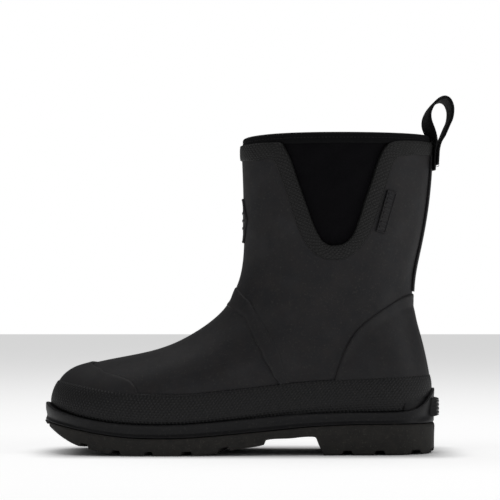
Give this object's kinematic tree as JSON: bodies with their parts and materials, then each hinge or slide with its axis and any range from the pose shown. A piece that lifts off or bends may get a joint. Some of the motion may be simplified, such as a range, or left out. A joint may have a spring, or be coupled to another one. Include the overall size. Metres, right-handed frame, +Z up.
{
  "type": "pull-on boot",
  "caption": "Black mid-height pull-on boot: rubber shell over a neoprene bootie, U-shaped side openings, textured foxing, lugged sole with a heel, and a webbing pull loop.",
  "frame": {"origin": "on the ground under the middle of the boot's length and width", "axes": "+Z up, toe towards -X, heel towards +X, outer (lateral) side of this left boot towards -Y"},
  "size_m": [0.3255, 0.108, 0.2836],
  "materials": {
    "rubber_shell": "matte, mottled",
    "rubber_overlay": "matte",
    "rubber_tape": "woven pattern, matte",
    "rubber_foxing": "fine diamond texture",
    "rubber_midsole": "smooth, low gloss",
    "rubber_outsole": "matte",
    "neoprene": "jersey faced foam",
    "mesh_cloth": "knitted mesh",
    "binding_cloth": "folded stretch cloth",
    "webbing": "woven polyester",
    "thread": "polyester thread",
    "fibre_board": "pressed fibre",
    "stiffener": "thermoplastic",
    "shank_plastic": "moulded nylon",
    "filler_foam": "light foam",
    "footbed_foam": "moulded foam",
    "footbed_cloth": "brushed cloth"
  },
  "bodies": {
    "boot": {"outsole": "rubber_outsole", "midsole": "rubber_midsole", "midsole_filler": "filler_foam", "shank": "shank_plastic", "heel_kick_block": "rubber_midsole", "insole_board": "fibre_board", "vamp_panel": "rubber_shell", "shaft_panel": "rubber_shell", "instep_strip": "rubber_overlay", "toe_cap": "rubber_overlay", "heel_overlay": "rubber_overlay", "foxing_band": "rubber_foxing", "collar_trim": "rubber_tape", "back_stay": "rubber_overlay", "front_badge": "rubber_overlay", "side_label": "rubber_overlay", "toe_puff": "stiffener", "heel_stiffener": "stiffener", "bootie_leg": "neoprene", "bootie_foot": "neoprene", "bootie_sole": "neoprene", "lining_leg": "mesh_cloth", "lining_foot": "mesh_cloth", "top_binding": "binding_cloth", "binding_stitches": "thread", "footbed": "footbed_foam", "footbed_cover": "footbed_cloth", "pull_tail": "webbing", "tail_stitches": "thread"},
    "pull_loop": {"pull_loop": "webbing"}
  },
  "joints": [
    {"name": "pull_loop_bend", "type": "hinge", "parent": "boot", "child": "pull_loop", "pos_m": [0.1502, 0, 0.245], "axis": [0, 1, 0], "range_deg": [-6, 110], "stiffness_Nm_per_rad": 0.02}
  ]
}
